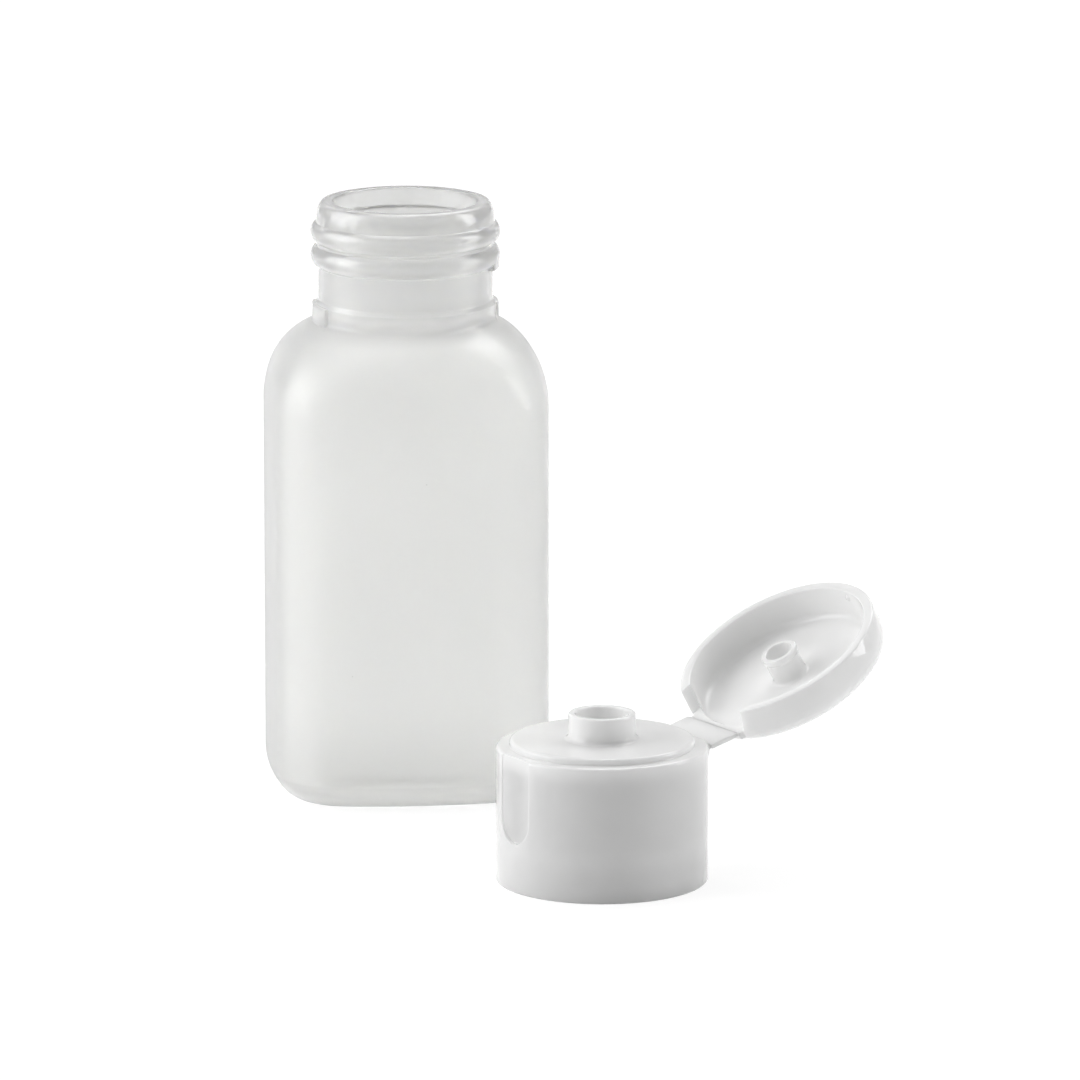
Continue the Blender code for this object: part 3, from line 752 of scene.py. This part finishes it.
def cap_corners():
    """Corners of the closure body's profile, down the outside from the spout and back up inside."""
    retainer = SEAL_HEIGHT - UPPER_BEAD_DEPTH - 2 * BEAD_SPACING
    plug_foot = SEAL_HEIGHT - PLUG_DEPTH
    plug_inside = PLUG_RADIUS - PLUG_WALL
    below_hinge = CREASE_HEIGHT - HINGE_PAD_HEIGHT - HINGE_PAD_FOOT_GAP
    below_recess = SHELF_HEIGHT - RECESS_HEIGHT - CUTTER_REACH
    return [
        (SPOUT_RADIUS, SPOUT_TOP, EASED_EDGE), (SPOUT_RADIUS, DECK_HEIGHT, FULL_EDGE),
        (DECK_RADIUS, DECK_HEIGHT, SOFT_EDGE), (DECK_RADIUS, SHELF_HEIGHT, CRISP_EDGE),
        (CAP_RADIUS, SHELF_HEIGHT, SOFT_EDGE), (CAP_RADIUS, below_hinge, 0),
        (CAP_RADIUS, below_recess, 0), (CAP_RADIUS, 0, EASED_EDGE),
        (CAP_BORE_RADIUS, 0, CRISP_EDGE),
        (CAP_BORE_RADIUS, retainer - RETAINER_HALF_HEIGHT, FULL_EDGE),
        (CAP_BORE_RADIUS - RETAINER_REACH, retainer, RETAINER_CREST),
        (CAP_BORE_RADIUS, retainer + RETAINER_HALF_HEIGHT, FULL_EDGE),
        (CAP_BORE_RADIUS, SEAL_HEIGHT, SOFT_EDGE),
        (PLUG_RADIUS, SEAL_HEIGHT, FINE_EDGE),
        (PLUG_RADIUS, plug_foot + PLUG_LEAD_HEIGHT, SOFT_EDGE),
        (PLUG_RADIUS - PLUG_LEAD_WIDTH, plug_foot, CRISP_EDGE),
        (plug_inside, plug_foot, CRISP_EDGE), (plug_inside, SEAL_HEIGHT, EASED_EDGE),
        (ORIFICE_RADIUS + ORIFICE_FLARE, SEAL_HEIGHT, FINE_EDGE),
        (ORIFICE_RADIUS, ORIFICE_BOTTOM, CRISP_EDGE),
        (ORIFICE_RADIUS, ORIFICE_BOTTOM + ORIFICE_LENGTH, CRISP_EDGE),
        (SPOUT_HOLE_RADIUS, ORIFICE_BOTTOM + SPOUT_HOLE_START, EASED_EDGE),
        (SPOUT_HOLE_RADIUS, SPOUT_TOP, EASED_EDGE)]


def lid_corners():
    """Corners of the shut lid's profile from the middle of its top to the stopper's bore."""
    tip = STOPPER_RECESS
    dimple = LID_CEILING - CEILING_DIMPLE
    return [
        (0, LID_HEIGHT, 0), (CAP_RADIUS, LID_HEIGHT, LID_ROUND), (CAP_RADIUS, 0, FINE_EDGE),
        (LID_INNER_RADIUS, 0, FINE_EDGE), (LID_INNER_RADIUS, LID_CEILING, LID_FILLET),
        (STOPPER_RADIUS, LID_CEILING, SOFT_EDGE), (STOPPER_RADIUS, tip + STOPPER_BEAD_FOOT, CRISP_EDGE),
        (STOPPER_BEAD_RADIUS, tip + STOPPER_BEAD_HEIGHT, CRISP_EDGE),
        (STOPPER_BEAD_RADIUS, tip, STOPPER_TIP_EDGE), (STOPPER_BORE_RADIUS, tip, CRISP_EDGE),
        (STOPPER_BORE_RADIUS, dimple, SOFT_EDGE), (0, dimple, 0)]


def recess_tool():
    """Thumb recess: straight sides open at the top, a round bottom and a soft rim."""
    sections = []
    top = SHELF_HEIGHT + CUTTER_REACH
    for x, spread in ((-CAP_RADIUS - CUTTER_REACH, RECESS_RIM_SPREAD),
                      (-CAP_RADIUS + RECESS_RIM_DEPTH, RECESS_FLOOR_SPREAD),
                      (-CAP_RADIUS + RECESS_DEPTH, 0)):
        half = RECESS_WIDTH / 2 + spread
        low = SHELF_HEIGHT - RECESS_HEIGHT + RECESS_WIDTH / 2
        outline = [(half, top)] + arc((0, low), half, 0, -math.pi, 28) + [(-half, top)]
        sections.append([Vector((x, y, z)) for y, z in outline])
    return solid_section("recess", sections)


def make_closure_body(tree, matrix):
    """Skirt, deck, spout, plug ring and ribs, with the strap's seat and the thumb recess cut in."""
    material = white_plastic("white_plastic_body", matrix)
    profile = [(r, 0, z, 1) for r, z in rounded(cap_corners(), True)]
    turned = wrapped("closure_body", profile, tree, TURNED_COLUMNS, material)
    fold_half_width = STRAP_WIDTH / 2 + FOLD_CLEARANCE
    above, outside = DECK_HEIGHT + CUTTER_REACH, CAP_RADIUS + CUTTER_REACH
    pad = block("pad", (HINGE_PAD_FACE - HINGE_PAD_DEPTH, HINGE_PAD_FACE), STRAP_WIDTH / 2,
                (CREASE_HEIGHT - HINGE_PAD_HEIGHT, CREASE_HEIGHT))
    seat = block("seat", (HINGE_X - SEAT_DEPTH, outside), fold_half_width, (CREASE_HEIGHT, above))
    swing = block("swing", (HINGE_PAD_FACE, outside), fold_half_width,
                  (CREASE_HEIGHT - SWING_HEIGHT, above))
    tools = [(sector("rib", CAP_BORE_RADIUS - RIB_THICKNESS, CAP_BORE_RADIUS + RIB_ROOT, RIB_BOTTOM,
                     RIB_TOP, RIB_TURN + i * math.pi, RIB_SPAN, 6), 'UNION') for i in range(2)]
    tools += [(softened(pad, HINGE_PAD_EDGE), 'UNION'), (seat, 'DIFFERENCE'), (swing, 'DIFFERENCE'),
              (recess_tool(), 'DIFFERENCE')]
    body = placed("closure_body", shaped("closure_body", outward(turned), tools), matrix, material)
    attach(body, "closure")
    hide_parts("cap_base")


def outward(mesh):
    """The same mesh with its faces turned outward."""
    bm = bmesh.new()
    bm.from_mesh(mesh)
    bmesh.ops.recalc_face_normals(bm, faces=bm.faces)
    bm.to_mesh(mesh)
    bm.free()
    return mesh


def make_lid(tree, matrix):
    """Flip lid with its stopper, hinge pad and snap nub, and a notch that takes the strap."""
    material = white_plastic("white_plastic_lid", matrix)
    profile = [(r, 0, z, 1) for r, z in rounded(lid_corners(), False)]
    turned = wrapped("lid_shell", profile, tree, TURNED_COLUMNS, material)
    fold_half_width = STRAP_WIDTH / 2 + FOLD_CLEARANCE
    outside = CAP_RADIUS + CUTTER_REACH
    pad = block("pad", (HINGE_PAD_FACE - HINGE_PAD_DEPTH, HINGE_PAD_FACE), STRAP_WIDTH / 2,
                (CREASE_ABOVE_RIM, CREASE_ABOVE_RIM + HINGE_PAD_HEIGHT))
    swing = block("swing", (HINGE_PAD_FACE, outside), fold_half_width,
                  (CREASE_ABOVE_RIM - SWING_HEIGHT, CREASE_ABOVE_RIM + SWING_HEIGHT))
    notch = block("notch", (NOTCH_START_X, outside), fold_half_width + NOTCH_SPREAD,
                  (-CUTTER_REACH, CREASE_ABOVE_RIM), fold_half_width)
    bm = bmesh.new()
    bmesh.ops.create_uvsphere(bm, u_segments=24, v_segments=16, radius=NUB_RADIUS,
                              matrix=Matrix.Translation((-DECK_RADIUS - NUB_REACH, 0, NUB_HEIGHT)))
    nub = bpy.data.meshes.new("nub")
    bm.to_mesh(nub)
    bm.free()
    tools = [(softened(pad, HINGE_PAD_EDGE), 'UNION'), (swing, 'DIFFERENCE'), (notch, 'DIFFERENCE'),
             (nub, 'UNION')]
    lid = placed("lid_shell", shaped("lid_shell", outward(turned), tools), matrix, material)
    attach(lid, "lid")
    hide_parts("flip_lid")


def make_strap(matrix):
    """Flat strap between the two creases; its plastic is given back for the films."""
    material = white_plastic("white_plastic_strap", matrix)
    slab = block("strap", (-STRAP_THICKNESS / 2, STRAP_THICKNESS / 2), STRAP_WIDTH / 2,
                 (CREASE_GAP, STRAP_LENGTH - CREASE_GAP))
    slab = softened(slab, STRAP_EDGE)
    slab.shade_smooth()
    slab.set_sharp_from_angle(angle=SHARP_ANGLE)
    strap = placed("strap_slab", slab, matrix, material)
    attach(strap, "strap")
    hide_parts("hinge_strap")
    return material


def make_film(name, before, after, matrix, material):
    """Thin film of a crease, from its root in one piece to its root in the next, as it stands."""
    path = [matrix @ (spot * share) for spot, share in
            ((before, 1), (before, FILM_BEND_SHARE), (before, 0), (after, FILM_BEND_SHARE), (after, 1))]
    across = (matrix.to_3x3() @ Vector((0, 1, 0))).normalized()
    sections = []
    for i, point in enumerate(path):
        along = (path[min(i + 1, len(path) - 1)] - path[max(i - 1, 0)]).normalized()
        normal = along.cross(across).normalized() * FILM_THICKNESS / 2
        side = across * (STRAP_WIDTH / 2 - FILM_SIDE_GAP)
        sections.append([point - side - normal, point + side - normal,
                         point + side + normal, point - side + normal])
    mesh = solid_section(name, sections)
    mesh.shade_smooth()
    mesh.set_sharp_from_angle(angle=FILM_SHARP_ANGLE)
    film = placed(name, mesh, Matrix.Identity(4), material)
    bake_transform(film)


# Floor, lights and camera


def make_floor():
    """Pale floor, nearly white to the camera, that keeps the object's shadow."""
    material, w, out = new_material("pale_floor")
    plain = w.node("ShaderNodeBsdfDiffuse", None, {"Color": FLOOR_GREY})
    lit = w.node("ShaderNodeEmission", None, {"Color": WHITE, "Strength": FLOOR_GLOW})
    path = w.tree.nodes.new("ShaderNodeLightPath")
    seen = (Wire(w.tree, path.outputs["Is Camera Ray"]) + Wire(w.tree, path.outputs["Is Glossy Ray"])
            + Wire(w.tree, path.outputs["Is Transmission Ray"]))
    share = w.math('MINIMUM', seen, 1.0) * FLOOR_GLOW_SHARE
    mixed = w.node("ShaderNodeMixShader", None, {0: share, 1: plain, 2: lit})
    w.tree.links.new(mixed.socket, out.inputs["Surface"])
    bm = bmesh.new()
    bmesh.ops.create_circle(bm, cap_ends=True, segments=96, radius=FLOOR_RADIUS)
    mesh = bpy.data.meshes.new("floor")
    bm.to_mesh(mesh)
    bm.free()
    mesh.materials.append(material)
    floor = bpy.data.objects.new("floor", mesh)
    bpy.context.scene.collection.objects.link(floor)


def make_world():
    """White backdrop to the camera and through the bottle, greyer in reflections, dim for the rest."""
    world = bpy.data.worlds.new("studio")
    bpy.context.scene.world = world
    world.use_nodes = True
    tree = world.node_tree
    tree.nodes.clear()
    w = Wire(tree)
    path = tree.nodes.new("ShaderNodeLightPath")
    seen = Wire(tree, path.outputs["Is Camera Ray"]) + Wire(tree, path.outputs["Is Transmission Ray"])
    mirrored = Wire(tree, path.outputs["Is Glossy Ray"]) * BACKDROP_MIRRORED
    seen = w.math('MINIMUM', seen, 1.0) * BACKDROP_SEEN
    strength = w.math('MAXIMUM', seen, mirrored) + BACKDROP_DIM
    back = w.node("ShaderNodeBackground", None, {"Color": WHITE, "Strength": strength})
    out = tree.nodes.new("ShaderNodeOutputWorld")
    tree.links.new(back.socket, out.inputs["Surface"])


def make_lamp(name, azimuth, elevation, distance, size, power, target):
    """Soft rectangular lamp at a direction round the target, turned towards it."""
    data = bpy.data.lights.new(name, 'AREA')
    data.shape = 'RECTANGLE'
    data.size, data.size_y = size
    data.energy = power
    lamp = bpy.data.objects.new(name, data)
    around, up = math.radians(azimuth), math.radians(elevation)
    arm = Vector((math.sin(around) * math.cos(up), -math.cos(around) * math.cos(up), math.sin(up)))
    lamp.location = target + arm * distance
    lamp.rotation_euler = arm.to_track_quat('Z', 'Y').to_euler()
    lamp.visible_camera = False
    bpy.context.scene.collection.objects.link(lamp)


def make_camera(axis):
    """Camera at the photograph's angle."""
    data = bpy.data.cameras.new("camera")
    data.lens = VIEW_LENS
    data.sensor_width = VIEW_SENSOR_WIDTH
    data.clip_start, data.clip_end = VIEW_NEAREST, VIEW_FARTHEST
    camera = bpy.data.objects.new("camera", data)
    turn = Matrix.Rotation(VIEW_TURN, 4, 'Z')
    place = Vector((VIEW_CENTRE_X, -VIEW_DISTANCE * math.cos(VIEW_ELEVATION),
                    VIEW_CENTRE_Z + VIEW_DISTANCE * math.sin(VIEW_ELEVATION)))
    camera.location = axis + turn @ place
    camera.rotation_euler = Euler((math.pi / 2 - VIEW_ELEVATION, 0, VIEW_TURN))
    bpy.context.scene.collection.objects.link(camera)
    bpy.context.scene.camera = camera


def main():
    """Pieces where the measured part stands, then floor, backdrop, lamps, camera and the view
    transform.
    """
    low, high = (Vector(corner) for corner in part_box("bottle"))
    axis = Vector(((low.x + high.x) / 2, (low.y + high.y) / 2, 0))
    bottle_place = Matrix.Translation(axis)
    stand = Matrix.Translation(axis + Vector((CLOSURE_X, CLOSURE_Y, 0)))
    stand = stand @ Matrix.Rotation(HINGE_AZIMUTH, 4, 'Z')
    bend = Matrix.Rotation(CREASE_OPENING, 4, 'Y')
    lower_crease = stand @ Matrix.Translation((HINGE_X, 0, CREASE_HEIGHT)) @ bend
    upper_crease = lower_crease @ Matrix.Translation((0, 0, STRAP_LENGTH)) @ bend
    lid_place = upper_crease @ Matrix.Translation((-HINGE_X, 0, -CREASE_ABOVE_RIM))

    tree = skin_tree()
    make_bottle(tree, bottle_place)
    make_closure_body(tree, stand)
    make_lid(tree, lid_place)
    strap_material = make_strap(lower_crease)
    unbend = bend.inverted().to_3x3()
    in_strap = Vector((0, 0, FILM_STRAP_ROOT))
    in_cap = Vector((-FILM_PAD_ROOT_X, 0, -FILM_PAD_ROOT_Z))
    in_lid = Vector((-FILM_PAD_ROOT_X, 0, FILM_PAD_ROOT_Z))
    make_film("lower_crease_film", unbend @ in_cap, in_strap, lower_crease,
              strap_material)
    make_film("upper_crease_film", unbend @ -in_strap, in_lid, upper_crease,
              strap_material)

    make_floor()
    make_world()
    for name, (azimuth, elevation, distance, size, power) in LAMPS.items():
        make_lamp(name, azimuth, elevation, distance, size, power, axis + LAMP_TARGET)
    make_camera(axis)

    settings = bpy.context.scene.view_settings
    settings.view_transform = 'Standard'


main()
